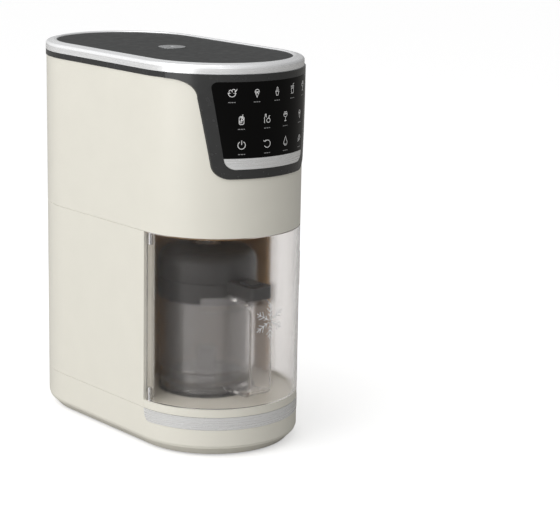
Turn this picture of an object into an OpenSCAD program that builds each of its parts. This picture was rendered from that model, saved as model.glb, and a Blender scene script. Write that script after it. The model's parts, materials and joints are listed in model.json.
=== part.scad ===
// Countertop frozen-dessert machine with a clear swing door, a lidded mixing bowl
// and a drive head that lowers a spinning paddle into the tub.
// The front faces -Y, +Z is up and the origin is at the centre of the footprint.

/* [Body] */
// Width over the top ring
body_w = 170; // [168:1:172]
// Distance between the centres of the round front and the round back
straight = 140; // [138:1:144]
// Height over everything
body_h = 380; // [380:1:384]
// Thickness of the moulded shells
wall = 2.6; // [2.4:0.1:3]
// How far the painted shells stay inside the top ring
ring_proud = 0.6; // [0.4:0.1:0.8]

/* [Levels] */
// Top of the bevel at the foot of the base
bevel_top = 11; // [9:1:13]
// How far the bevel goes in at the bottom
bevel_in = 8.5; // [7:0.5:10]
// Lower edge of the silver strip on the base
strip_low = 28.5; // [26:0.5:30]
// Seam between the base and the middle housing
base_split = 41; // [41:1:42]
// Top of the sill under the door
sill_top = 49; // [49:1:50]
// Seam between the middle housing and the head
head_split = 216; // [216:1:218]
// Lower edge of the dark band under the top ring
band_low = 365; // [364:0.5:366]
// Lower edge of the chrome top ring
ring_low = 370.5; // [370:0.5:371]

/* [Controls] */
// Half width of the dark surround where its sides start
surround_half = 64.6; // [62:0.2:66]
// How much the sides of the surround lean in, per millimetre of height
side_lean = 0.144; // [0.1:0.002:0.16]
// Bottom of the dark surround
surround_low = 273; // [270:1:276]
// Bottom of the silver trim under the glass
trim_low = 282; // [281:0.5:284]
// Bottom of the black glass
glass_low = 292.5; // [291:0.5:294]
// Top of the black glass
glass_top = 363.6; // [362:0.2:364]
// How far the surround stands proud of the top ring
surround_proud = 1.2; // [1:0.1:1.5]

/* [Bay and door] */
// Front edges of the liner's side walls
liner_y = -61; // [-62:0.5:-60]
// Half width of the bay between the liner's side walls
bay_half = 77; // [76:0.5:77.5]
// Front face of the liner's back wall
bay_back_y = -7; // [-7.5:0.5:-7]
// Front edge of the left flank, at the hinge
left_edge_y = -69.5; // [-70:0.1:-69]
// Front edge of the right flank
right_edge_y = -63; // [-64:0.5:-63]
// Radius of the door's hinge barrel
barrel_r = 3.9; // [3.6:0.1:4]
// Distance of the hinge pin in front of the round front's centre
hinge_ahead = 5.3; // [5:0.1:6]

/* [Bowl] */
// Distance of the bowl's axis in front of the middle
bowl_ahead = 60; // [59:0.5:61]
// Outer radius of the bowl
bowl_r = 47; // [46.8:0.1:47.2]
// Outer radius of the lid
lid_r = 49; // [48.8:0.1:49.4]
// Top of the lift platform at rest
platform_top = 50; // [50:0.5:50.5]
// Lower edge of the lid
lid_low = 141.4; // [141:0.2:142]
// Reach of the handle's front from the bowl's axis
handle_reach = 85; // [84:0.5:86]

/* [Drive] */
// Tooth size of the gears, as the gear module
tooth = 1.5; // [1.5:0.1:1.5]
// Teeth of the gear on the spindle
spindle_teeth = 48; // [48:1:48]
// Teeth of the idler gear
idler_teeth = 27; // [27:1:27]
// Teeth of the motor pinion
pinion_teeth = 15; // [15:1:15]
// Radius of the spindle shaft
spindle_r = 6; // [5:0.5:6]
// Travel of the carriage
carriage_travel = 88; // [80:1:88]

/* [Hidden] */
$fn = 96;

ring_r = body_w / 2;
body_r = ring_r - ring_proud;
inner_r = body_r - wall;
end_y = straight / 2;
bowl_y = -bowl_ahead;
floor_z = 47;
foot_h = 2;
hinge_xy = [-(body_r - barrel_r - 0.18), -end_y - hinge_ahead];
pin_r = 1.8;
running = 0.06;
panel_r = ring_r + surround_proud;
glass_proud = 0.3;
liner_t = 2.5;
jamb_y = liner_y - 5;
deck_low = 213;
deck_z = head_split + 0.2;
deck_t = 2.4;
deck_back_y = -0.5;
door_low = sill_top + 0.6;
door_top = head_split - 0.6;
carriage_z = 311;
plate_t = 6;
gear_z = carriage_z + plate_t + 2;
gear_t = 10;
cover_z = gear_z + gear_t + 2;
idler_y = bowl_y + (spindle_teeth + idler_teeth) * tooth / 2;
motor_y = idler_y + (idler_teeth + pinion_teeth) * tooth / 2;
motor_r = 27;
motor_h = 74;
screw_y = 75;
screw_r = 4;
screw_pitch = 4;
rod_xy = [42, 60];
rod_r = 5;
frame_low = 128;
frame_high = 350;
bar_t = 6;
tub_floor = 57.3;
neck_top = 152;
handle_w = 25;
big = 400;

cream = "#E5E2D6";
dark = "#464849";
gloss_black = "#0D0D0E";
silver = "#C9CACB";
steel = "#9FA3A6";
smoke = "#5A5046";
board_green = "#2E5A3C";

// ---------- shared shapes ----------

// Flat racetrack outline: two round ends joined by a straight middle
module race2d(r) {
    for (s = [1, -1]) translate([0, s * end_y]) circle(r);
    square([2 * r, straight], center = true);
}

module race(r, z0, z1) {
    translate([0, 0, z0]) linear_extrude(z1 - z0) race2d(r);
}

// Sweeps a 2D section round the racetrack: x is the distance from the end axes, y the height
module track() {
    for (a = [0, 180]) rotate([0, 0, a]) {
        translate([0, end_y, 0]) rotate_extrude(angle = 180) children();
        translate([0, end_y, 0]) rotate([90, 0, 0]) linear_extrude(straight) children();
    }
}

module front_of(y, z0 = 0, z1 = big) {
    translate([-big / 2, y - big, z0]) cube([big, big, z1 - z0]);
}

module at_front() {
    translate([0, -end_y, 0]) children();
}

module at_bowl() {
    translate([0, bowl_y, 0]) children();
}

module tube(r_out, r_in, z0, z1) {
    translate([0, 0, z0]) difference() {
        cylinder(r = r_out, h = z1 - z0);
        translate([0, 0, -1]) cylinder(r = r_in, h = z1 - z0 + 2);
    }
}

module rod(r, z0, z1) {
    translate([0, 0, z0]) cylinder(r = r, h = z1 - z0);
}

// Box given by its lowest and highest corners
module block(low, high) {
    translate(low) cube(high - low);
}

// Points that round the corner b between its neighbours a and c
function unit(v) = v / norm(v);
function arc_points(centre, r, from, sweep, n) =
    [for (i = [0:n]) centre + r * [cos(from + sweep * i / n), sin(from + sweep * i / n)]];
function corner(a, b, c, r, n = 8) =
    r == 0 ? [b] :
    let (
        u = unit(a - b),
        v = unit(c - b),
        half = acos(u * v) / 2,
        centre = b + unit(u + v) * r / sin(half),
        s = b + u * r / tan(half) - centre,
        e = b + v * r / tan(half) - centre,
        from = atan2(s.y, s.x),
        sweep = (atan2(e.y, e.x) - from + 540) % 360 - 180
    )
    arc_points(centre, r, from, sweep, n);
// Closed outline from corners given as [x, y, radius]
function rounded(p) = [
    for (i = [0:len(p) - 1])
        let (
            a = p[(i + len(p) - 1) % len(p)],
            b = p[i],
            c = p[(i + 1) % len(p)]
        )
        each corner([a.x, a.y], [b.x, b.y], [c.x, c.y], b.z)
];

// Pushes an outline drawn in X and Z through the whole depth in front of the middle
module through_front() {
    rotate([90, 0, 0]) linear_extrude(big) children();
}

// Half width at height z of an outline that is half_w wide at height top_z
function lean(half_w, top_z, z) = half_w - side_lean * (top_z - z);

module gear2d(teeth, phase) {
    pitch_r = teeth * tooth / 2;
    root_r = pitch_r - 1.2 * tooth;
    tip_r = pitch_r + 0.95 * tooth;
    step = 360 / teeth;
    half_root = step * 0.33;
    half_pitch = step * 0.215;
    half_tip = step * 0.11;
    polygon([
        for (i = [0:teeth - 1])
            let (a = phase + i * step)
            each [
                root_r * [cos(a - half_root), sin(a - half_root)],
                pitch_r * [cos(a - half_pitch), sin(a - half_pitch)],
                tip_r * [cos(a - half_tip), sin(a - half_tip)],
                tip_r * [cos(a + half_tip), sin(a + half_tip)],
                pitch_r * [cos(a + half_pitch), sin(a + half_pitch)],
                root_r * [cos(a + half_root), sin(a + half_root)]
            ]
    ]);
}

// Cross-headed screw that points up, its head's underside at z = 0
module screw(r, length) {
    difference() {
        translate([0, 0, -1.6]) cylinder(r = 2 * r, h = 1.6);
        for (a = [0, 90]) rotate([0, 0, a]) block([-r, -r / 4, -2], [r, r / 4, -0.8]);
    }
    cylinder(r = r, h = length);
}

// ---------- base ----------

foot_at = [for (x = [-48, 48]) for (y = [-100, 100]) [x, y, 0]];
base_screw_at = [for (x = [-60, 60]) for (y = [-55, 55]) [x, y, 0]];

module feet() {
    color("#2A2A2B") for (p = foot_at) translate(p) {
        cylinder(r1 = 8.5, r2 = 9.5, h = foot_h);
        rod(5, foot_h, foot_h + 2.9);
    }
}

module base_plate() {
    plate_r = body_r - bevel_in - wall - 0.2;
    color("#3A3A3B") difference() {
        union() {
            race(plate_r, foot_h, foot_h + 3);
            for (p = base_screw_at) translate(p) tube(5, 1.6, foot_h + 3, foot_h + 14);
        }
        for (p = foot_at) translate(p) rod(5, 0, foot_h + 4);
        for (p = base_screw_at) translate(p) {
            rod(3.4, 0, foot_h + 1.7);
            rod(1.6, 0, foot_h + 4);
        }
        for (i = [-5:5]) block([-18, i * 6 - 1.5, 0], [18, i * 6 + 1.5, foot_h + 4]);
    }
}

module strip_solid(r0, r1, grow) {
    z0 = strip_low - grow;
    z1 = base_split + grow;
    intersection() {
        at_front() tube(r1, r0, z0, z1);
        rotate([90, 0, 90]) translate([0, 0, -big / 2]) linear_extrude(big) polygon(rounded([
            [-end_y - ring_r - 5, z0, 0],
            [-end_y - 3, z0, 7],
            [-end_y + 0, z1, 0],
            [-end_y - ring_r - 5, z1, 0]
        ]));
    }
}

module base_shell() {
    lip = 1.2;
    color(cream) difference() {
        track() polygon([
            [body_r - bevel_in, foot_h],
            [body_r - 1, bevel_top - 1.2],
            [body_r, bevel_top + 1.5],
            [body_r, base_split - 0.2],
            [body_r - 0.2, base_split],
            [inner_r, base_split],
            [inner_r, bevel_top + wall],
            [body_r - bevel_in - wall, foot_h + 3],
            [body_r - bevel_in - wall, foot_h]
        ]);
        strip_solid(body_r - lip, ring_r + 5, 0.05);
        translate([0, end_y, 24]) rotate([-90, 0, 0]) cylinder(r = 6.5, h = big);
    }
}

module base_strip() {
    color(silver) strip_solid(body_r - 1.1, body_r + 0.3, -0.1);
}

module cord_gland() {
    reach = end_y + body_r;
    color("#262627") translate([0, 0, 24]) rotate([-90, 0, 0]) difference() {
        union() {
            rod(6.4, reach - 6, reach + 1);
            rod(9, reach - 6, reach - 4);
        }
        rod(3.6, reach - 7, reach + 2);
    }
}

module bay_floor() {
    well_r = 47.5;
    recess_r = 78.5;
    color(cream) difference() {
        union() {
            intersection() {
                race(body_r, base_split + 0.2, sill_top);
                front_of(-end_y - 0.1);
            }
            intersection() {
                race(inner_r - 0.2, base_split + 0.2, sill_top);
                front_of(liner_y - 0.2);
            }
            intersection() {
                race(inner_r - 0.2, base_split + 0.2, floor_z);
                front_of(bay_back_y + liner_t);
            }
        }
        at_front() rod(recess_r, floor_z, sill_top + 1);
        block([-recess_r, -end_y, floor_z], [recess_r, 0, sill_top + 1]);
        at_bowl() rod(well_r, base_split - 1, sill_top + 1);
        translate(hinge_xy) rod(pin_r, base_split + 0.8, sill_top + 1);
    }
}

// ---------- bowl lift ----------

module cam_cup() {
    cup_in = 43.5;
    cup_top = base_split - 3;
    cup_low = foot_h + 3.1;
    color("#D8D4C8") at_bowl() difference() {
        union() {
            rotate_extrude() polygon([
                [cup_in, cup_low],
                [cup_in + 3, cup_low],
                [cup_in + 3, cup_top - 3],
                [cup_in + 8.5, cup_top - 3],
                [cup_in + 8.5, cup_top],
                [cup_in, cup_top]
            ]);
            for (a = [30:120:270]) rotate([0, 0, a]) translate([cup_in + 4, 0, 0])
                rod(3.4, cup_low, cup_top - 1);
        }
        for (a = [90:120:330]) rotate([0, 0, a]) block([40, -5, 15], [50, 5, 33]);
    }
}

module bowl_platform() {
    color("#303133") at_bowl() difference() {
        union() {
            rod(46.8, platform_top - 3.5, platform_top);
            rod(14, platform_top - 4, platform_top + 4);
            tube(43.2, 40.5, platform_top - 26, platform_top - 3);
            for (a = [0:60:300]) rotate([0, 0, a]) block([10, -1, platform_top - 12],
                [41, 1, platform_top - 3]);
        }
        for (a = [90:120:330]) rotate([0, 0, a]) translate([30, 0, platform_top - 22])
            rotate([0, 90, 0]) cylinder(r = 2.5, h = 20);
    }
}

module platform_pins() {
    color(steel) at_bowl() for (a = [90:120:330])
        rotate([0, 0, a]) translate([38, 0, platform_top - 22]) rotate([0, 90, 0])
            cylinder(r = 2.5, h = 7.5);
}

module lock_switch() {
    color("#1C1C1D") at_bowl() rotate([0, 0, 60]) {
        block([55, -10, 12], [62, 10, 24]);
        block([60, -4, 24], [62, 6, 27]);
    }
}

// ---------- middle housing and bay ----------

module middle_housing() {
    color(cream) difference() {
        track() polygon([
            [body_r - 0.2, base_split + 0.2],
            [body_r, base_split + 0.4],
            [body_r, head_split - 0.3],
            [body_r - 0.2, head_split - 0.1],
            [inner_r, head_split - 0.1],
            [inner_r, base_split + 0.2]
        ]);
        front_of(-end_y + 0.1);
        intersection() {
            front_of(left_edge_y, sill_top);
            block([-big, -big, 0], [0, big, big]);
        }
        intersection() {
            front_of(right_edge_y, sill_top);
            block([0, -big, 0], [big, big, big]);
        }
        block([-34, end_y + 40, 62], [34, end_y + 100, 118]);
    }
    color(cream) block([-inner_r - 0.5, jamb_y, sill_top + 0.2], [-68.5, jamb_y + 2.4, head_split - 0.1]);
}

module bay_liner() {
    z0 = floor_z + 0.1;
    z1 = head_split + 0.1;
    wall_back_y = bay_back_y + liner_t;
    color(smoke) {
        block([-bay_half - liner_t, bay_back_y, z0], [bay_half + liner_t, wall_back_y, z1]);
        for (s = [0, 1]) mirror([s, 0, 0]) {
            block([bay_half, liner_y, z0], [bay_half + liner_t, wall_back_y, z1]);
            block([bay_half, liner_y, z0], [inner_r - 0.2, liner_y + liner_t, z1]);
        }
    }
}

module drive_deck() {
    rim_r = bay_half - 1.5;
    color(smoke) difference() {
        union() {
            intersection() {
                race(inner_r - 0.2, deck_z, deck_z + deck_t);
                front_of(deck_back_y);
            }
            intersection() {
                race(rim_r, deck_low, deck_z + 0.1);
                front_of(jamb_y - 0.5);
            }
            at_bowl() tube(14, 9, deck_z + deck_t, deck_z + deck_t + 1.5);
        }
        race(rim_r - wall, deck_low - 1, deck_z);
        at_bowl() rod(9, deck_low - 1, big);
        translate(hinge_xy) rod(pin_r + 0.3, deck_low - 1, big);
    }
}

// ---------- head ----------

module upper_housing() {
    boss_r = 4.4;
    color(cream) difference() {
        union() {
            track() polygon([
                [body_r - 0.2, head_split + 0.1],
                [body_r, head_split + 0.3],
                [body_r, band_low - 0.1],
                [inner_r, band_low - 0.1],
                [inner_r, head_split + 0.1]
            ]);
            intersection() {
                translate(hinge_xy) rod(boss_r, head_split + 2.8, head_split + 12);
                race(body_r, head_split, head_split + 12);
            }
        }
        translate(hinge_xy) rod(pin_r, head_split - 1, head_split + 9);
        intersection() {
            through_front() polygon(rounded([
                [-40, glass_low + 3, 4],
                [40, glass_low + 3, 4],
                [46, glass_top - 5, 4],
                [-46, glass_top - 5, 4]
            ]));
            front_of(-end_y);
        }
    }
}

// Outline of the dark surround, drawn in X and Z
module surround2d(top_z) {
    flare = 17;
    flare_z = band_low - flare;
    low_half = lean(surround_half, flare_z, surround_low);
    polygon(rounded([
        [-surround_half, top_z, 0],
        [-surround_half, flare_z, 0],
        [-low_half, surround_low, 14],
        [low_half, surround_low, 14],
        [surround_half, flare_z, 0],
        [surround_half, top_z, 0]
    ]));
    for (s = [0, 1]) mirror([s, 0]) difference() {
        translate([surround_half - 0.5, flare_z]) square([flare + 0.5, top_z - flare_z]);
        translate([surround_half + flare, flare_z]) circle(flare);
    }
}

// Outline shared by the glass and the trim under it
module window2d(gap = 0) {
    top_half = 57.4 + gap;
    low_half = lean(top_half, band_low, trim_low);
    polygon(rounded([
        [-top_half, glass_top + gap, 5],
        [-low_half, trim_low - gap, 10],
        [low_half, trim_low - gap, 10],
        [top_half, glass_top + gap, 5]
    ]));
}

module control_surround() {
    color(dark) difference() {
        union() {
            track() polygon([
                [ring_r, band_low + 0.1],
                [ring_r, ring_low - 0.1],
                [inner_r, ring_low - 0.1],
                [inner_r, band_low + 0.1]
            ]);
            intersection() {
                at_front() tube(panel_r, body_r, surround_low - 5, ring_low - 0.1);
                through_front() surround2d(ring_low - 0.1);
                front_of(-end_y - 4);
            }
        }
        intersection() {
            at_front() tube(panel_r + 5, panel_r - 0.9, trim_low - 5, band_low);
            through_front() window2d(0.05);
            front_of(-end_y - 4);
        }
        intersection() {
            through_front() polygon(rounded([
                [-40, glass_low + 3, 4],
                [40, glass_low + 3, 4],
                [46, glass_top - 5, 4],
                [-46, glass_top - 5, 4]
            ]));
            front_of(-end_y);
        }
    }
}

module window_layer(z0, z1) {
    intersection() {
        at_front() tube(panel_r + glass_proud, panel_r - 0.8, z0, z1);
        through_front() window2d(-0.1);
        front_of(-end_y - 4);
    }
}

module control_glass() {
    color(gloss_black) window_layer(glass_low + 0.1, glass_top + 1);
}

module panel_trim() {
    color(silver) window_layer(trim_low - 1, glass_low - 0.1);
}

// Where the touch keys sit on the board, as [x, z]: five above four above four
key_at = concat(
    [for (i = [-2:2]) [i * 15, 349]],
    [for (z = [325, 302]) for (i = [-1.5:1.5]) [i * 17, z]]
);

module touch_board() {
    board_y = -end_y - 62;
    color(board_green) {
        block([-42, board_y, 294], [42, board_y + 1.6, 358]);
        for (p = key_at) translate([p.x, board_y, p.y]) rotate([90, 0, 0])
            cylinder(r = 3.4, h = 5, $fn = 32);
        block([-12, board_y + 1.6, 300], [12, board_y + 5, 312]);
        block([-38, board_y + 1.6, 340], [-20, board_y + 8, 352]);
    }
}

module chrome_ring() {
    round_r = 3.5;
    inset = 11;
    color("#D5D7D9") track() polygon(concat(
        [[ring_r, ring_low]],
        arc_points([ring_r - round_r, body_h - 1 - round_r], round_r, 0, 60, 6),
        [
            [ring_r - inset + 3, body_h],
            [ring_r - inset + 0.6, body_h - 0.3],
            [ring_r - inset, body_h - 1],
            [ring_r - inset, ring_low + 3],
            [inner_r, ring_low + 3],
            [inner_r, ring_low]
        ]
    ));
}

module top_plate() {
    plate_r = ring_r - 11.15;
    plate_top = body_h - 1.4;
    color(dark) difference() {
        union() {
            race(plate_r, ring_low + 3.1, plate_top);
            race(inner_r - 0.3, ring_low, ring_low + 2.9);
            race(plate_r, ring_low, ring_low + 3.2);
        }
        race(plate_r - 3, ring_low - 1, plate_top - 2.5);
        rod(13.7, plate_top - 0.9, body_h);
        rod(4, ring_low - 1, body_h);
    }
}

module top_badge() {
    badge_low = body_h - 2.25;
    color("#B9BBBD") difference() {
        union() {
            rod(13.5, badge_low, body_h - 0.9);
            rod(3.9, badge_low - 5, badge_low);
        }
        translate([0, 0, body_h + 4.1]) sphere(r = 6);
    }
}

module rear_vent() {
    slots = 9;
    z0 = 54;
    z1 = 126;
    half_w = 44;
    color(dark) difference() {
        intersection() {
            translate([0, end_y, 0]) tube(panel_r + glass_proud, body_r + 0.05, z0 - 1, z1 + 1);
            rotate([-90, 0, 0]) linear_extrude(big) polygon(rounded([
                [-half_w, -z0, 8],
                [half_w, -z0, 8],
                [half_w, -z1, 8],
                [-half_w, -z1, 8]
            ]));
        }
        for (i = [0:slots - 1]) block([-30, end_y, z0 + 13 + i * 5.5], [30, big, z0 + 16 + i * 5.5]);
    }
}

// ---------- electrics ----------

module power_board() {
    board_t = 1.6;
    color(board_green) translate([-72, 2, 0]) {
        block([0, 0, 16], [board_t, 90, 110]);
        block([board_t, 10, 60], [26, 40, 90]);
        block([board_t, 50, 30], [14, 80, 56]);
        for (y = [52, 70]) translate([board_t, y, 84]) rotate([0, 90, 0]) cylinder(r = 8, h = 26);
        for (z = [24, 34, 44]) block([board_t, 6, z], [12, 22, z + 7]);
    }
}

fan_at = [0, end_y + 50, 90];

module fan_frame() {
    half = 25;
    color("#1E1E1F") translate(fan_at) rotate([-90, 0, 0]) {
        difference() {
            block([-half, -half, 0], [half, half, 15]);
            rod(22.5, 3, 16);
            difference() {
                rod(22.5, -1, 4);
                rod(10, -1, 4);
                for (a = [45, 135]) rotate([0, 0, a]) block([-30, -2, -1], [30, 2, 3]);
            }
            for (x = [-1, 1]) for (y = [-1, 1]) translate([x * 21, y * 21, 0]) rod(1.7, -1, 16);
        }
        rod(2, 2.5, 10);
    }
}

module fan_rotor() {
    color("#39393B") translate(fan_at) rotate([-90, 0, 0]) difference() {
        union() {
            rod(9, 4, 13);
            for (i = [0:6]) rotate([0, 0, i * 360 / 7]) translate([0, 0, 8.5]) rotate([35, 0, 0])
                block([7, -5, -0.7], [21.5, 5, 0.7]);
        }
        rod(2 + running, 3, 11);
    }
}

module reed_switch() {
    x0 = bay_half + liner_t + 0.05;
    color("#1C1C1D") block([x0, liner_y + 4, 118], [x0 + 2, liner_y + 18, 144]);
}

module housing_screws() {
    color(steel) for (p = base_screw_at) translate([p.x, p.y, foot_h + 1.7]) screw(1.55, 9);
}

// ---------- door ----------

module hinge_pins() {
    color(steel) translate(hinge_xy) {
        rod(pin_r, base_split + 0.8, sill_top + 13);
        rod(pin_r, head_split - 12, head_split + 9);
    }
}

module door_panel() {
    rib_in = 4.8;
    lip = [58, 66];
    color([0.8, 0.78, 0.76, 0.35]) difference() {
        union() {
            intersection() {
                at_front() tube(body_r, inner_r, door_low, door_top);
                front_of(-end_y);
                union() {
                    block([0, -big, 0], [big, 0, big]);
                    block([-big, -big, 0], [0, hinge_xy.y, big]);
                }
            }
            block([inner_r, -end_y - 0.5, door_low], [body_r, right_edge_y - 0.6, door_top]);
            block([body_r - rib_in, -end_y, door_low], [inner_r + 1, right_edge_y - 1.2, door_top]);
            translate(hinge_xy) rod(barrel_r, door_low, door_top);
            at_front() intersection() {
                tube(body_r + 1.6, body_r - 1, 150, 184);
                rotate([0, 0, -90 + lip[0]]) block([60, 0, 0], [100, 6, big]);
            }
        }
        translate(hinge_xy) {
            rod(pin_r + running, 0, sill_top + 13.3);
            rod(pin_r + running, head_split - 12.3, big);
        }
        block([inner_r - 1.9, right_edge_y - 5, 121], [inner_r + 0.1, right_edge_y - 2, 141]);
    }
}

module door_magnet() {
    color(steel) block([inner_r - 1.8, right_edge_y - 4.9, 121.1], [inner_r, right_edge_y - 2.1, 140.9]);
}

// ---------- bowl, tub and lid ----------

// Local X points straight ahead from the bowl's axis
module at_handle() {
    at_bowl() rotate([0, 0, -90]) children();
}

// Outline of the handle's loop in X and Z, drawn inset from its outer face
module loop2d(inset) {
    low = 54.5 + inset;
    high = 150 - inset;
    far = handle_reach - inset;
    polygon(rounded([
        [40 - inset, low, 0],
        [far, low, 10 - inset],
        [far, high, 14 - inset],
        [40 - inset, high, 0]
    ]));
}

module outer_bowl() {
    strap_t = 3.5;
    lug_r = lid_r + 0.35;
    base_r = bowl_r - 1.5;
    z0 = platform_top + 0.3;
    color([0.75, 0.75, 0.76, 0.35]) {
        at_bowl() rotate_extrude() polygon([
            [0, z0 + 4.2],
            [36, z0 + 4.2],
            [36, z0],
            [base_r, z0],
            [base_r, z0 + 19],
            [bowl_r, z0 + 21],
            [bowl_r, lid_low - 0.4],
            [bowl_r - 1.2, lid_low - 0.4],
            [bowl_r - 1.2, neck_top],
            [bowl_r - 2.6, neck_top],
            [bowl_r - 2.6, z0 + 6.6],
            [0, z0 + 6.6]
        ]);
        at_bowl() rotate([0, 0, -135]) rotate_extrude(angle = 63) polygon([
            [bowl_r - 0.5, 134],
            [lug_r + 2, 134],
            [lug_r + 2, 148.5],
            [lug_r, 148.5],
            [lug_r, lid_low - 0.6],
            [bowl_r - 0.5, lid_low - 0.6]
        ]);
        difference() {
            at_handle() rotate([90, 0, 0]) translate([0, 0, -handle_w / 2]) linear_extrude(handle_w)
                difference() {
                    loop2d(0);
                    loop2d(strap_t);
                }
            at_bowl() rod(bowl_r - 2.4, 0, big);
            at_bowl() rod(lug_r, lid_low - 0.5, big);
        }
    }
}

module tub() {
    r = bowl_r - 3.4;
    hub_r = 9;
    hub_top = 85;
    t = 1.7;
    color([0.85, 0.86, 0.87, 0.3]) at_bowl() {
        rotate_extrude() polygon([
            [0, hub_top - t],
            [hub_r - t, hub_top - t],
            [hub_r - t, tub_floor],
            [r - 1.5, tub_floor],
            [r, tub_floor + 4],
            [r, neck_top - 3],
            [r + 0.5, neck_top - 2],
            [r + 0.5, neck_top - 0.4],
            [r - t, neck_top - 0.4],
            [r - t, tub_floor + 2],
            [hub_r, tub_floor + 2],
            [hub_r, hub_top],
            [0, hub_top]
        ]);
        for (a = [0:90:270]) rotate([0, 0, a + 45])
            block([r - t - 1.2, -0.9, tub_floor + 1], [r - t + 0.5, 0.9, neck_top - 8]);
    }
}

module locking_lid() {
    skirt_in = bowl_r - 0.9;
    throat_r = 14.3;
    color("#1F2022") at_bowl() {
        rotate_extrude() polygon(concat(
            [
                [skirt_in, lid_low],
                [lid_r, lid_low],
                [lid_r, 160.9],
                [lid_r - 0.7, 161.3],
                [lid_r - 0.7, 161.9],
                [lid_r, 162.3],
                [lid_r, 176]
            ],
            arc_points([lid_r - 14, 176], 14, 10, 65, 8),
            [
                [20, 192.5],
                [17.4, 194],
                [throat_r, 194],
                [throat_r, 189],
                [20, 189],
                [38, 186.5],
                [45, 179],
                [skirt_in, 174],
                [skirt_in, lid_low]
            ]
        ));
    }
}

module latch_housing() {
    arm_low = 152;
    arm_top = 164;
    color("#1F2022") difference() {
        at_handle() linear_extrude_between(arm_low, arm_top) polygon(rounded([
            [lid_r - 8, -handle_w / 2, 0],
            [handle_reach + 0.6, -handle_w / 2, 5],
            [handle_reach + 0.6, handle_w / 2, 5],
            [lid_r - 8, handle_w / 2, 0]
        ]));
        at_bowl() rod(lid_r + 0.05, arm_low - 1, arm_top + 1);
        at_handle() linear_extrude_between(arm_low + 3.5, arm_top + 1) button2d(0.15);
    }
}

module linear_extrude_between(z0, z1) {
    translate([0, 0, z0]) linear_extrude(z1 - z0) children();
}

module button2d(gap) {
    near = lid_r + 10;
    far = handle_reach - 8;
    polygon(rounded([
        [near - gap, -7 - gap, 2],
        [far + gap, -7 - gap, 2],
        [far + gap, 7 + gap, 2],
        [near - gap, 7 + gap, 2]
    ]));
}

module lid_button() {
    color("#3A3B3D") at_handle() linear_extrude_between(158, 165.5) button2d(0);
}

module lid_seal() {
    color("#8E8E8C") at_bowl() tube(bowl_r - 1, bowl_r - 4.6, neck_top + 0.3, neck_top + 3);
}

// ---------- drive ----------

module drive_frame() {
    color("#7D8083") difference() {
        for (z = [frame_low, frame_high]) {
            intersection() {
                block([-inner_r, 46, z], [inner_r, 92, z + bar_t]);
                race(inner_r - 0.1, z, z + bar_t);
            }
        }
        for (s = [-1, 1]) translate([s * rod_xy.x, rod_xy.y, 0]) rod(rod_r, 0, big);
        translate([0, screw_y, 0]) rod(8, 0, big);
    }
}

module guide_rods() {
    color(steel) for (s = [-1, 1]) translate([s * rod_xy.x, rod_xy.y, 0])
        rod(rod_r, frame_low, frame_high + bar_t);
}

module screw_bearing() {
    color(steel) translate([0, screw_y, 0]) for (z = [frame_low, frame_high])
        tube(8, screw_r - 1 + running, z, z + bar_t);
}

module lift_motor() {
    half = 17.5;
    color("#4A4C4E") translate([0, screw_y, 0]) {
        block([-half, -half, frame_low - 30], [half, half, frame_low - 10]);
        for (x = [-1, 1]) for (y = [-1, 1]) translate([x * 14, y * 14, 0])
            rod(3, frame_low - 10, frame_low);
    }
}

module lead_screw() {
    thread_low = frame_low + bar_t + 0.4;
    thread_high = frame_high - 0.4;
    turns = floor((thread_high - thread_low) / screw_pitch);
    neck = screw_r - 1;
    color("#B8B08A") translate([0, screw_y, 0]) {
        rod(neck, frame_low - 9.8, frame_high + bar_t);
        rotate_extrude() polygon(concat(
            [[0, thread_low]],
            [for (i = [0:turns - 1]) each [
                [screw_r - 0.8, thread_low + i * screw_pitch],
                [screw_r, thread_low + (i + 0.35) * screw_pitch],
                [screw_r, thread_low + (i + 0.65) * screw_pitch]
            ]],
            [[screw_r - 0.8, thread_low + turns * screw_pitch], [0, thread_low + turns * screw_pitch]]
        ));
    }
}

module carriage2d() {
    difference() {
        union() {
            translate([0, bowl_y]) circle(42);
            translate([-32, bowl_y]) square([64, screw_y - bowl_y + 4]);
            translate([0, screw_y]) circle(14);
            for (s = [-1, 1]) translate([s * rod_xy.x, rod_xy.y]) circle(11);
            translate([-rod_xy.x, rod_xy.y - 8]) square([2 * rod_xy.x, 16]);
        }
        for (s = [-1, 1]) translate([s * rod_xy.x, rod_xy.y]) circle(rod_r + running);
    }
}

post_at = [for (s = [-1, 1]) for (y = [-20, 50]) [s * 27, y, 0]];

module carriage_plate() {
    color("#8A8D90") difference() {
        union() {
            linear_extrude_between(carriage_z, carriage_z + plate_t) carriage2d();
            for (s = [-1, 1]) translate([s * rod_xy.x, rod_xy.y, 0])
                tube(9, rod_r + running, carriage_z + plate_t, cover_z + 4);
            for (p = post_at) translate(p) rod(4, carriage_z + plate_t, cover_z);
        }
        at_bowl() rod(13, carriage_z - 1, carriage_z + plate_t + 1);
        translate([0, motor_y, 0]) rod(8, carriage_z - 1, carriage_z + plate_t + 1);
        translate([0, idler_y, 0]) rod(3, carriage_z - 1, carriage_z + plate_t + 1);
        translate([0, screw_y, 0]) rod(7, carriage_z - 1, carriage_z + plate_t + 1);
        for (a = [45:90:315]) translate([0, motor_y, 0]) rotate([0, 0, a]) translate([18, 0, 0])
            rod(1.6, carriage_z - 1, carriage_z + plate_t + 1);
    }
}

module gear_cover() {
    color("#3C3D3F") difference() {
        linear_extrude_between(cover_z, cover_z + 5) union() {
            translate([0, bowl_y]) circle(40);
            translate([-31, bowl_y]) square([62, 118]);
        }
        at_bowl() rod(13, cover_z - 1, cover_z + 6);
        translate([0, idler_y, 0]) rod(3, cover_z - 1, cover_z + 6);
        translate([0, motor_y, 0]) rod(6, cover_z - 1, cover_z + 6);
    }
}

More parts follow.
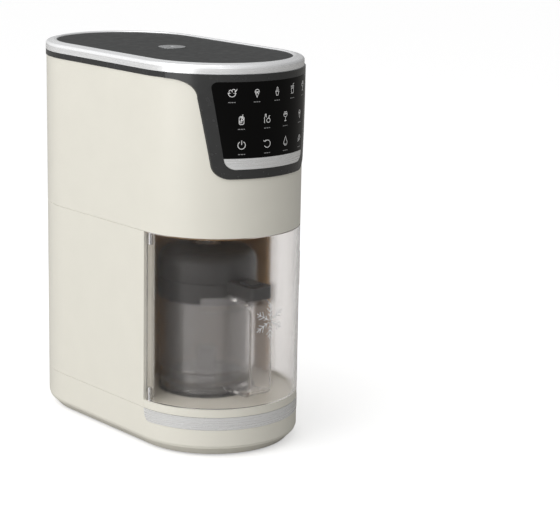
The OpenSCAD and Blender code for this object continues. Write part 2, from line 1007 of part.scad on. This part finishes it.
module motor_can() {
    z0 = carriage_z - motor_h;
    color("#5B5E61") translate([0, motor_y, 0]) difference() {
        union() {
            rod(motor_r, z0 + 4, carriage_z - 0.05);
            rod(12, z0, z0 + 5);
        }
        rod(motor_r - 2, z0 + 6, carriage_z - 4);
        rod(3 + running, z0 + 2, carriage_z);
        for (a = [0:45:315]) rotate([0, 0, a]) block([motor_r - 6, -3, z0 + 12], [motor_r + 2, 3, z0 + 34]);
        for (a = [45:90:315]) rotate([0, 0, a]) translate([18, 0, 0])
            rod(1.4, carriage_z - 5, carriage_z);
    }
}

module motor_screws() {
    color(steel) translate([0, motor_y, carriage_z + plate_t]) for (a = [45:90:315])
        rotate([0, 0, a]) translate([18, 0, 0]) mirror([0, 0, 1]) screw(1.4, plate_t + 3);
}

module spindle_bearings() {
    color(steel) at_bowl() for (z = [carriage_z, cover_z]) difference() {
        tube(13, spindle_r + running, z, z + 5);
        tube(11, spindle_r + 2, z + 4.4, z + 6);
    }
}

module idler_axle() {
    color(steel) translate([0, idler_y, 0]) rod(3, carriage_z, cover_z + 5);
}

module lift_nut() {
    z0 = carriage_z - 8;
    color("#B99A4A") translate([0, screw_y, 0]) {
        tube(7, screw_r + running, carriage_z - 0.05, carriage_z + plate_t + 6);
        tube(11, screw_r + running, z0, carriage_z - 0.05);
    }
}

module spindle_shaft() {
    color("#C4C7C9") at_bowl() {
        rod(spindle_r, 179, cover_z + 7);
        rod(spindle_r + 3, gear_z - 1.6, gear_z - 0.1);
    }
}

module spindle_gear() {
    color("#D9D5C8") at_bowl() difference() {
        linear_extrude_between(gear_z, gear_z + gear_t) gear2d(spindle_teeth, 90);
        rod(spindle_r, gear_z - 1, gear_z + gear_t + 1);
        for (a = [0:60:300]) rotate([0, 0, a]) translate([21, 0, 0])
            rod(6.5, gear_z - 1, gear_z + gear_t + 1);
    }
}

module idler_gear() {
    color("#CFCBBE") translate([0, idler_y, 0]) difference() {
        linear_extrude_between(gear_z, gear_z + gear_t)
            gear2d(idler_teeth, 270 + 180 / idler_teeth);
        rod(3 + running, gear_z - 1, gear_z + gear_t + 1);
    }
}

module motor_pinion() {
    color("#B5A06A") translate([0, motor_y, 0]) difference() {
        linear_extrude_between(gear_z, gear_z + gear_t)
            gear2d(pinion_teeth, 270 + 180 / pinion_teeth);
        rod(3, gear_z - 1, gear_z + gear_t + 1);
    }
}

module motor_shaft() {
    z0 = carriage_z - motor_h;
    color("#A9ACAE") translate([0, motor_y, 0]) {
        rod(3, z0 + 2.5, cover_z + 4);
        rod(19, z0 + 22, carriage_z - 14);
    }
}

module paddle() {
    hub_r = 13;
    blade_r = 39.5;
    blade_low = 153;
    color("#E8E6DF") at_bowl() difference() {
        union() {
            rod(hub_r, blade_low, 192);
            for (a = [0, 180]) rotate([0, 0, a]) {
                translate([0, 0, blade_low + 7]) rotate([28, 0, 0])
                    block([hub_r - 2, -7, -1.2], [blade_r, 7, 1.2]);
                block([blade_r - 2.5, -1.5, blade_low], [blade_r, 1.5, blade_low + 18]);
            }
        }
        rod(10.5, blade_low - 1, 177);
        rod(spindle_r, 178.9, 193);
    }
}

feet();
base_plate();
base_shell();
base_strip();
bay_floor();
middle_housing();
bay_liner();
drive_deck();
upper_housing();
control_surround();
control_glass();
panel_trim();
touch_board();
chrome_ring();
top_plate();
top_badge();
rear_vent();
cord_gland();
power_board();
fan_frame();
fan_rotor();
drive_frame();
guide_rods();
lift_motor();
screw_bearing();
hinge_pins();
reed_switch();
housing_screws();
cam_cup();
lock_switch();
door_panel();
door_magnet();
bowl_platform();
platform_pins();
outer_bowl();
tub();
locking_lid();
latch_housing();
lid_seal();
lid_button();
carriage_plate();
gear_cover();
motor_can();
motor_screws();
spindle_bearings();
idler_axle();
lift_nut();
spindle_shaft();
spindle_gear();
paddle();
idler_gear();
motor_pinion();
motor_shaft();
lead_screw();
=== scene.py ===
"""Looks of a countertop frozen-dessert machine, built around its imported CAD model.

Metres, +Z up, front to -Y.
"""

import json
import math

import bmesh
import bpy
from mathutils import Matrix, Vector


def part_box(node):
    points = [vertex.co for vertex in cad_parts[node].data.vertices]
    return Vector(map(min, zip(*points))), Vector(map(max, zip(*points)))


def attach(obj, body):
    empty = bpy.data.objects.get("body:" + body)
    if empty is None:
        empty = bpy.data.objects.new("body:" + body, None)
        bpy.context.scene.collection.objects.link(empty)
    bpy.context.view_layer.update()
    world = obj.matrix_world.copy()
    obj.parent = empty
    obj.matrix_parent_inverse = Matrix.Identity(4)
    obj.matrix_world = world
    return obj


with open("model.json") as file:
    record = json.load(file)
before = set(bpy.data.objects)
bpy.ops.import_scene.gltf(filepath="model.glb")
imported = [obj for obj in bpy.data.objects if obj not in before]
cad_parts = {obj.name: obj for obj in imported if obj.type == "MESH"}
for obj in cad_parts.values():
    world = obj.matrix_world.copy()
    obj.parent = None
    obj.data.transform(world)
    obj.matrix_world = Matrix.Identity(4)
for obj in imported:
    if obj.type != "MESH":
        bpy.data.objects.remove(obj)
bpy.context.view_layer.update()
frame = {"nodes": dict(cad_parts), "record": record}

MM = 0.001


# ---------- places taken from the frame ----------

strip_low, strip_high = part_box("base_strip")
FRONT_R = strip_high.x
FRONT_Y = strip_low.y + FRONT_R
glass_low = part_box("control_glass")[0]
GLASS_R = FRONT_Y - glass_low.y
door_low, door_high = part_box("door_panel")
DOOR_R = FRONT_Y - door_low.y
DOOR_MID_Z = (door_low.z + door_high.z) / 2
BACK_Y = -FRONT_Y


# ---------- camera, lights and floor ----------

def place_camera():
    azimuth = math.radians(-40.59)
    elevation = math.radians(13.37)
    distance = 1.860
    slide = 0.1109
    aim_z = 0.1601
    roll = math.radians(1.17)
    back = Vector((
        math.sin(azimuth) * math.cos(elevation),
        -math.cos(azimuth) * math.cos(elevation),
        math.sin(elevation),
    ))
    right = (-back).cross(Vector((0, 0, 1))).normalized()
    up = right.cross(-back)
    turned_right = right * math.cos(roll) + up * math.sin(roll)
    turned_up = up * math.cos(roll) - right * math.sin(roll)
    data = bpy.data.cameras.new("camera")
    data.lens = 118.03
    data.sensor_width = 36
    camera = bpy.data.objects.new("camera", data)
    axes = Matrix((turned_right, turned_up, back)).transposed().to_4x4()
    camera.matrix_world = Matrix.Translation(Vector((0, 0, aim_z)) + right * slide + back * distance) @ axes
    bpy.context.scene.collection.objects.link(camera)
    bpy.context.scene.camera = camera


def area_light(name, place, target, width, height, power, colour=(1, 1, 1)):
    data = bpy.data.lights.new(name, "AREA")
    data.shape = "RECTANGLE"
    data.size = width
    data.size_y = height
    data.energy = power
    data.color = colour
    light = bpy.data.objects.new(name, data)
    light.location = place
    light.rotation_euler = (Vector(target) - Vector(place)).to_track_quat("-Z", "Y").to_euler()
    bpy.context.scene.collection.objects.link(light)


def seen_directly(nodes, links):
    """1 for rays from the camera and for rays passing through a clear piece, 0 for all other rays."""
    path = nodes.new("ShaderNodeLightPath")
    either = nodes.new("ShaderNodeMath")
    either.operation = "MAXIMUM"
    links.new(path.outputs["Is Camera Ray"], either.inputs[0])
    links.new(path.outputs["Is Transmission Ray"], either.inputs[1])
    return either.outputs[0]


def sky():
    """White behind the object; as light it is bright on the left and dim on the right."""
    world = bpy.data.worlds.new("studio")
    world.use_nodes = True
    nodes = world.node_tree.nodes
    links = world.node_tree.links
    background = nodes["Background"]
    way = nodes.new("ShaderNodeTexCoord")
    split = nodes.new("ShaderNodeSeparateXYZ")
    links.new(way.outputs["Generated"], split.inputs[0])
    fade = nodes.new("ShaderNodeMapRange")
    fade.inputs["From Min"].default_value = -0.8
    fade.inputs["From Max"].default_value = 0.9
    fade.inputs["To Min"].default_value = 0.98
    fade.inputs["To Max"].default_value = 0.23
    links.new(split.outputs["X"], fade.inputs["Value"])
    pick = nodes.new("ShaderNodeMix")
    links.new(seen_directly(nodes, links), pick.inputs["Factor"])
    links.new(fade.outputs["Result"], pick.inputs["A"])
    pick.inputs["B"].default_value = 1.0
    links.new(pick.outputs["Result"], background.inputs["Strength"])
    background.inputs["Color"].default_value = (1, 1, 1, 1)
    bpy.context.scene.world = world
    bpy.context.scene.view_settings.view_transform = "Standard"


def floor():
    """White paper to the camera and through clear pieces; as light it gives back much less."""
    bm = bmesh.new()
    bmesh.ops.create_grid(bm, x_segments=1, y_segments=1, size=6)
    sheet = new_object("floor", bm)
    paper = bpy.data.materials.new("floor_paper")
    paper.use_nodes = True
    nodes = paper.node_tree.nodes
    links = paper.node_tree.links
    seen = nodes["Principled BSDF"]
    seen.inputs["Base Color"].default_value = (0.86, 0.86, 0.86, 1)
    seen.inputs["Roughness"].default_value = 0.9
    seen.inputs["Emission Color"].default_value = (1, 1, 1, 1)
    seen.inputs["Emission Strength"].default_value = 0.45
    bounce = nodes.new("ShaderNodeBsdfDiffuse")
    bounce.inputs["Color"].default_value = (0.42, 0.41, 0.39, 1)
    pick = nodes.new("ShaderNodeMixShader")
    links.new(seen_directly(nodes, links), pick.inputs[0])
    links.new(bounce.outputs[0], pick.inputs[1])
    links.new(seen.outputs[0], pick.inputs[2])
    links.new(pick.outputs[0], nodes["Material Output"].inputs["Surface"])
    sheet.data.materials.append(paper)


def studio():
    sky()
    area_light("left_softbox", (-1.7, -0.15, 0.7), (0, 0, 0.2), 1.3, 1.5, 11.5)
    area_light("top_softbox", (-0.2, 0.2, 1.6), (0, 0, 0.2), 1.0, 1.0, 4)
    area_light("front_softbox", (-0.9, -1.7, 0.9), (0, 0, 0.2), 0.6, 1.0, 1.5)
    floor()


# ---------- mesh helpers ----------

def new_object(name, bm):
    mesh = bpy.data.meshes.new(name)
    bmesh.ops.recalc_face_normals(bm, faces=bm.faces)
    bm.to_mesh(mesh)
    bm.free()
    obj = bpy.data.objects.new(name, mesh)
    bpy.context.scene.collection.objects.link(obj)
    return obj


def finish_piece(obj, body, material):
    obj.data.materials.append(material)
    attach(obj, body)
    return obj


def on_front(radius):
    """Maps millimetres along and up, from straight ahead, on to the round front at this radius."""
    def place(u, v, out=0.0):
        turn = u * MM / radius
        reach = radius + out * MM
        return Vector((reach * math.sin(turn), FRONT_Y - reach * math.cos(turn), v * MM))
    return place


def stroke(bm, points, width, place, thick=0.06, closed=False):
    """Raised printed line of this width in millimetres along flat points, laid on a surface by place."""
    count = len(points)
    rings = []
    for i, point in enumerate(points):
        before = points[i - 1] if closed or i else point
        after = points[(i + 1) % count] if closed or i < count - 1 else point
        into = Vector((point[0] - before[0], point[1] - before[1]))
        out = Vector((after[0] - point[0], after[1] - point[1]))
        into = into.normalized() if into.length else out.normalized()
        out = out.normalized() if out.length else into
        run = (into + out).normalized() if (into + out).length > 0.01 else into
        side = Vector((-run.y, run.x)) * width / 2 / max(run.dot(into), 0.5)
        left = (point[0] + side.x, point[1] + side.y)
        right = (point[0] - side.x, point[1] - side.y)
        rings.append([
            bm.verts.new(place(*left, 0)), bm.verts.new(place(*left, thick)),
            bm.verts.new(place(*right, thick)), bm.verts.new(place(*right, 0)),
        ])
    pairs = zip(rings, rings[1:] + rings[:1]) if closed else zip(rings, rings[1:])
    for a, b in pairs:
        for k in range(4):
            bm.faces.new((a[k], a[(k + 1) % 4], b[(k + 1) % 4], b[k]))
    if not closed:
        bm.faces.new(rings[0])
        bm.faces.new(rings[-1][::-1])


def arc(cx, cy, radius, start, stop, steps=12):
    """Points of an arc, angles in degrees from +u towards +v."""
    turns = [math.radians(start + (stop - start) * i / steps) for i in range(steps + 1)]
    return [(cx + radius * math.cos(a), cy + radius * math.sin(a)) for a in turns]


def ring(cx, cy, radius, steps=20):
    return arc(cx, cy, radius, 0, 360 - 360 / steps, steps - 1)


# ---------- materials ----------

class Look:
    """A Principled material being built: plain values first, then texture on colour, gloss and relief."""

    def __init__(self, name, colour, rough, metal=0.0, **more):
        self.material = bpy.data.materials.new(name)
        self.material.use_nodes = True
        self.nodes = self.material.node_tree.nodes
        self.links = self.material.node_tree.links
        self.shader = self.nodes["Principled BSDF"]
        self.colour = colour
        self.rough = rough
        self.shader.inputs["Base Color"].default_value = (*colour, 1)
        self.shader.inputs["Roughness"].default_value = rough
        self.shader.inputs["Metallic"].default_value = metal
        for key, value in more.items():
            self.shader.inputs[key.replace("_", " ")].default_value = value
        self.where = self.nodes.new("ShaderNodeTexCoord")

    def grain(self, scale, detail=2.0, stretch=(1, 1, 1)):
        """Noise with this many cells a metre, pulled long or short along each axis."""
        mapping = self.nodes.new("ShaderNodeMapping")
        mapping.inputs["Scale"].default_value = stretch
        self.links.new(self.where.outputs["Object"], mapping.inputs["Vector"])
        noise = self.nodes.new("ShaderNodeTexNoise")
        noise.inputs["Scale"].default_value = scale
        noise.inputs["Detail"].default_value = detail
        self.links.new(mapping.outputs["Vector"], noise.inputs["Vector"])
        return noise.outputs["Fac"]

    def tint(self, source, spread):
        """Colour from darker to lighter by this share either way."""
        mix = self.nodes.new("ShaderNodeMix")
        mix.data_type = "RGBA"
        mix.inputs["A"].default_value = (*(c * (1 - spread) for c in self.colour), 1)
        mix.inputs["B"].default_value = (*(min(c * (1 + spread), 1) for c in self.colour), 1)
        self.links.new(source, mix.inputs["Factor"])
        self.links.new(mix.outputs["Result"], self.shader.inputs["Base Color"])
        return self

    def gloss(self, source, spread):
        """Roughness that wanders by this much either side."""
        span = self.nodes.new("ShaderNodeMapRange")
        span.inputs["From Min"].default_value = 0.3
        span.inputs["From Max"].default_value = 0.7
        span.inputs["To Min"].default_value = max(self.rough - spread, 0.02)
        span.inputs["To Max"].default_value = self.rough + spread
        self.links.new(source, span.inputs["Value"])
        self.links.new(span.outputs["Result"], self.shader.inputs["Roughness"])
        return self

    def relief(self, source, height):
        """Fine bumps of this height in metres."""
        bump = self.nodes.new("ShaderNodeBump")
        bump.inputs["Strength"].default_value = 1.0
        bump.inputs["Distance"].default_value = height
        self.links.new(source, bump.inputs["Height"])
        self.links.new(bump.outputs["Normal"], self.shader.inputs["Normal"])
        return self

    def let_lamps_through(self):
        """Lamps shine through the clear piece on to what is behind it."""
        path = self.nodes.new("ShaderNodeLightPath")
        gap = self.nodes.new("ShaderNodeBsdfTransparent")
        gap.inputs["Color"].default_value = (*(c ** 0.5 for c in self.colour), 1)
        pick = self.nodes.new("ShaderNodeMixShader")
        self.links.new(path.outputs["Is Shadow Ray"], pick.inputs[0])
        self.links.new(self.shader.outputs[0], pick.inputs[1])
        self.links.new(gap.outputs[0], pick.inputs[2])
        self.links.new(pick.outputs[0], self.nodes["Material Output"].inputs["Surface"])
        return self


def moulded(name, colour, rough, texture=0.00001, cell=1400, **more):
    """Injection moulding: a hint of uneven colour, wandering gloss and a fine spark-eroded skin."""
    look = Look(name, colour, rough, **more)
    look.tint(look.grain(35, 3), 0.025)
    look.gloss(look.grain(160, 3), 0.05)
    look.relief(look.grain(cell, 2), texture)
    return look.material


def brushed(name, colour, rough, along, metal=1.0, **more):
    """Metal brushed along one direction; along is how long each scratch is on every axis.

    Less metal than 1 keeps bright trim as pale as it is in the photograph.
    """
    look = Look(name, colour, rough, metal, **more)
    lines = look.grain(900, 2, along)
    look.tint(lines, 0.025)
    look.gloss(lines, 0.05)
    look.relief(lines, 0.000001)
    return look.material


def clear(name, colour, rough, ior=1.49, clarity=1.0, **more):
    """Clear moulded plastic with faint flow lines from top to bottom; less clarity makes it milky.

    A lower ior than the plastic's 1.49 keeps round edges from turning dark, as in the photograph.
    """
    look = Look(name, colour, rough, Transmission_Weight=clarity, IOR=ior, **more)
    flow = look.grain(120, 2, (1, 1, 0.06))
    look.gloss(flow, rough * 0.25)
    look.relief(flow, 0.00004)
    look.let_lamps_through()
    return look.material


def spun(name, colour, rough):
    """Metal turned on a lathe about the vertical middle axis: fine rings round it."""
    look = Look(name, colour, rough, 1.0)
    wave = look.nodes.new("ShaderNodeTexWave")
    wave.wave_type = "RINGS"
    wave.rings_direction = "Z"
    wave.inputs["Scale"].default_value = 260
    wave.inputs["Distortion"].default_value = 0.4
    look.links.new(look.where.outputs["Object"], wave.inputs["Vector"])
    look.tint(wave.outputs["Fac"], 0.06)
    look.relief(wave.outputs["Fac"], 0.00001)
    return look.material


def make_materials():
    """One finish for each material slot of the record."""
    return {
        "cream_shell": moulded(
            "cream_shell", (0.80, 0.78, 0.70), 0.34, 0.000002, 700, Coat_Weight=0.1, Coat_Roughness=0.12
        ),
        "dark_moulding": moulded("dark_moulding", (0.045, 0.046, 0.048), 0.45),
        "brushed_silver": brushed("brushed_silver", (0.88, 0.885, 0.89), 0.28, (0.02, 0.02, 1), 0.5),
        "smoke_liner": moulded("smoke_liner", (0.40, 0.24, 0.10), 0.42, 0.00001, Specular_IOR_Level=0.3),
        "dark_gloss": moulded(
            "dark_gloss", (0.034, 0.0345, 0.035), 0.24, 0.0000005, 300, Specular_IOR_Level=0.45
        ),
        "panel_glass": moulded(
            "panel_glass", (0.003, 0.003, 0.003), 0.08, 0.000001, 300, Specular_IOR_Level=0.10
        ),
        "circuit_board": moulded("circuit_board", (0.02, 0.10, 0.045), 0.4, 0.00003, 600),
        "chrome_ring": brushed("chrome_ring", (0.96, 0.965, 0.975), 0.26, (0.02, 0.02, 1), 0.45),
        "dark_matte": moulded(
            "dark_matte", (0.024, 0.0255, 0.025), 0.55, 0.00001, 1800, Specular_IOR_Level=0.35
        ),
        "badge_metal": spun("badge_metal", (0.62, 0.63, 0.64), 0.25),
        "frame_steel": brushed("frame_steel", (0.35, 0.36, 0.37), 0.35, (0.05, 1, 1)),
        "bright_steel": brushed("bright_steel", (0.62, 0.63, 0.65), 0.22, (1, 1, 0.05)),
        "motor_paint": moulded("motor_paint", (0.10, 0.105, 0.11), 0.4, 0.00002),
        "pale_moulding": moulded("pale_moulding", (0.70, 0.68, 0.61), 0.45),
        "clear_door": clear("clear_door", (0.855, 0.84, 0.83), 0.17, 1.25),
        "clear_bowl": clear("clear_bowl", (0.91, 0.90, 0.895), 0.08, 1.49, 0.95),
        "clear_tub": clear("clear_tub", (0.93, 0.935, 0.94), 0.06),
        "lid_black": moulded("lid_black", (0.032, 0.031, 0.031), 0.42, 0.00001, 1500, Specular_IOR_Level=0.3),
        "seal_grey": moulded("seal_grey", (0.28, 0.28, 0.27), 0.6),
        "cast_alloy": moulded("cast_alloy", (0.42, 0.43, 0.44), 0.42, 0.00006, 900, Metallic=1.0),
        "brass": brushed("brass", (0.58, 0.43, 0.19), 0.28, (1, 1, 0.05)),
        "rubber": moulded("rubber", (0.03, 0.03, 0.031), 0.7, 0.00005, 900),
    }


def dress_frame(looks):
    """Gives every CAD node the finish of its slot."""
    for part in frame["record"]["subparts"]:
        mesh = frame["nodes"][part["node"]].data
        mesh.materials.clear()
        mesh.materials.append(looks[part["material_slot"]])


# ---------- printed icons on the glass ----------

def cone_icon():
    scoop = arc(0, 1.0, 2.4, -8, 188)
    return [(scoop, False), ([(-2.4, 0.8), (0, -5.2), (2.4, 0.8)], False), ([(-2.9, 0.8), (2.9, 0.8)], False),
            ([(-1.6, -1.2), (0.9, 0.6)], False), ([(1.5, -1.4), (-0.7, 0.6)], False)]


def soft_icon():
    swirl = [(-2.2, 0.2), (2.1, 1.1), (-1.7, 2.0), (1.4, 2.9), (-0.7, 3.7), (0.2, 4.8)]
    return [(swirl, False), ([(-2.3, -0.4), (-1.1, -4.6), (1.1, -4.6), (2.3, -0.4)], True)]


def dish_icon():
    bowl = [(-4.2, 0)] + arc(0, 0, 4.0, 190, 350) + [(4.2, 0)]
    return [(bowl, True), (arc(-1.6, 1.7, 1.7, -20, 215), False), (arc(1.6, 2.2, 1.9, -35, 190), False),
            ([(3.6, 1.0), (5.4, 4.2)], False)]


def glass_icon():
    return [([(-2.6, 3.0), (-1.9, -4.8), (1.9, -4.8), (2.6, 3.0)], True), ([(-2.3, 0.6), (2.3, 0.6)], False),
            ([(0.4, 0.8), (1.4, 5.4), (2.8, 5.9)], False)]


def sundae_icon():
    cup = arc(0, 2.6, 3.0, 180, 360)
    foot = [(-1.8, -4.7), (1.8, -4.7)]
    return [(cup, True), ([(0, -0.4), (0, -4.6)], False), (foot, False),
            (ring(-1.0, 3.9, 1.3), True), (ring(1.3, 4.1, 1.2), True)]


def jar_icon():
    body = [(-2.7, 2.6), (-2.7, -3.6), (-1.7, -4.8), (1.7, -4.8), (2.7, -3.6), (2.7, 2.6)]
    return [(body, True), ([(-2.1, 3.8), (2.1, 3.8)], False), ([(0.3, 2.8), (1.5, 6.0)], False),
            (ring(-0.7, -1.9, 1.2), True), (ring(0.9, 0.6, 1.1), True)]


def fruit_icon():
    leaf = arc(3.2, 2.0, 1.1, 60, 250)
    bottle = [(-3.6, -4.6), (-3.6, 1.6), (-2.8, 2.8), (-2.8, 5.0), (-1.6, 5.0), (-1.6, 2.8), (-0.9, 1.5)]
    return [(ring(1.5, -1.9, 2.3), True), ([(1.5, 0.4), (2.3, 2.2)], False), (leaf, False), (bottle, False)]


def power_icon():
    return [(arc(0, 0, 4.2, 118, 422, 24), False), ([(0, 5.2), (0, 0.4)], False)]


def again_icon():
    return [(arc(0, 0, 4.0, 140, -150, 24), False), ([(-5.0, 3.9), (-3.1, 2.6), (-1.5, 4.5)], False)]


def drop_icon():
    return [([(0, 5.4)] + arc(0, -1.4, 3.0, 40, -220, 20), True), (arc(0, -1.4, 1.6, 200, 280, 6), False)]


def leaf_icon():
    blade = arc(1.4, -1.4, 4.4, 92, 178, 8) + arc(-1.4, 1.4, 4.4, -88, -2, 8)
    return [(blade, True), ([(-4.0, -4.0), (1.6, 1.6)], False)]


# Rows of keys from the top: height in millimetres, then the key's direction in degrees and its icon
KEY_ROWS = [
    (353.5, [("dish", -28.4, dish_icon), ("cone", -12.2, cone_icon), ("soft", 3.0, soft_icon),
             ("glass", 17.8, glass_icon), ("sundae", 33.6, sundae_icon)]),
    (328.5, [("jar", -22.2, jar_icon), ("fruit", -4.6, fruit_icon), ("coupe", 10.8, sundae_icon),
             ("cornet", 28.6, cone_icon)]),
    (305.0, [("power", -21.9, power_icon), ("again", -4.3, again_icon), ("rinse", 11.3, drop_icon),
             ("light_mix", 28.8, leaf_icon)]),
]
ICON_SIZE = 0.86
ICON_STROKE = 0.55
DASH_DROP = 8.6
DASH_HALF = 3.4


def print_icons(bright, dim):
    glass = on_front(GLASS_R)
    for height, keys in KEY_ROWS:
        for name, turn, draw in keys:
            along = math.radians(turn) * GLASS_R / MM

            def at_key(u, v, out=0.0):
                return glass(along + u, height + v, out)

            bm = bmesh.new()
            for points, closed in draw():
                scaled = [(u * ICON_SIZE, v * ICON_SIZE) for u, v in points]
                stroke(bm, scaled, ICON_STROKE, at_key, closed=closed)
            finish_piece(new_object("icon_" + name, bm), "root", bright)
            bm = bmesh.new()
            dashes = [(-DASH_HALF, -1.2), (-0.6, 1.4), (2.0, DASH_HALF)]
            for start, stop in dashes:
                stroke(bm, [(start, -DASH_DROP), (stop, -DASH_DROP)], 0.7, at_key)
            finish_piece(new_object("key_mark_" + name, bm), "root", dim)


# ---------- snowflake on the door ----------

def print_snowflake(white):
    """Six arms, each with two pairs of side branches and a forked tip."""
    turn = math.radians(1.9) * DOOR_R / MM
    door = on_front(DOOR_R)
    arm = 18.2
    bm = bmesh.new()
    for i in range(6):
        way = math.radians(90 + 60 * i)
        along = (math.cos(way), math.sin(way))

        def at_arm(run, side):
            return (run * along[0] - side * along[1], run * along[1] + side * along[0])

        def at_print(u, v, out=0.0):
            return door(turn + u, DOOR_MID_Z / MM + v, out)

        stroke(bm, [at_arm(1.5, 0), at_arm(arm, 0)], 0.65, at_print)
        for start, reach in ((5.0, 3.4), (9.0, 5.6), (13.2, 3.6)):
            for side in (-1, 1):
                tip = at_arm(start + reach * 0.75, side * reach * 0.75)
                stroke(bm, [at_arm(start, side * 0.3), tip], 0.6, at_print)
    finish_piece(new_object("door_snowflake", bm), "door", white)


# ---------- back ------------------------

PLATE_HALF_W = 15
PLATE_HALF_H = 5
PLATE_CORNER = 2
PLATE_ASIDE = 35
PLATE_Z = 26
PLATE_INNER = -0.25
PLATE_OUTER = -0.1


def rating_plate(material):
    """Blank foil plate low on the back, beside the lead's gland, with rounded corners."""
    outline = []
    for i, (sx, sy) in enumerate(((1, 1), (-1, 1), (-1, -1), (1, -1))):
        outline += arc(sx * PLATE_HALF_W, sy * PLATE_HALF_H, PLATE_CORNER, 90 * i, 90 * i + 90, 4)

    def at_back(u, v, out):
        turn = (u + PLATE_ASIDE) * MM / FRONT_R
        reach = FRONT_R + out * MM
        return Vector((reach * math.sin(turn), BACK_Y + reach * math.cos(turn), (v + PLATE_Z) * MM))

    bm = bmesh.new()
    inner, outer = [
        [bm.verts.new(at_back(u, v, out)) for u, v in outline] for out in (PLATE_INNER, PLATE_OUTER)
    ]
    bm.faces.new(inner[::-1])
    bm.faces.new(outer)
    count = len(outline)
    for i in range(count):
        k = (i + 1) % count
        bm.faces.new((inner[i], inner[k], outer[k], outer[i]))
    finish_piece(new_object("rating_plate", bm), "root", material)


place_camera()
studio()
looks = make_materials()
dress_frame(looks)
icon_white = moulded("icon_print", (0.90, 0.90, 0.90), 0.5)
mark_grey = moulded("mark_print", (0.30, 0.30, 0.305), 0.5)
frost_white = moulded("frost_print", (0.82, 0.83, 0.85), 0.55)
print_icons(icon_white, mark_grey)
print_snowflake(frost_white)
rating_plate(looks["brushed_silver"])
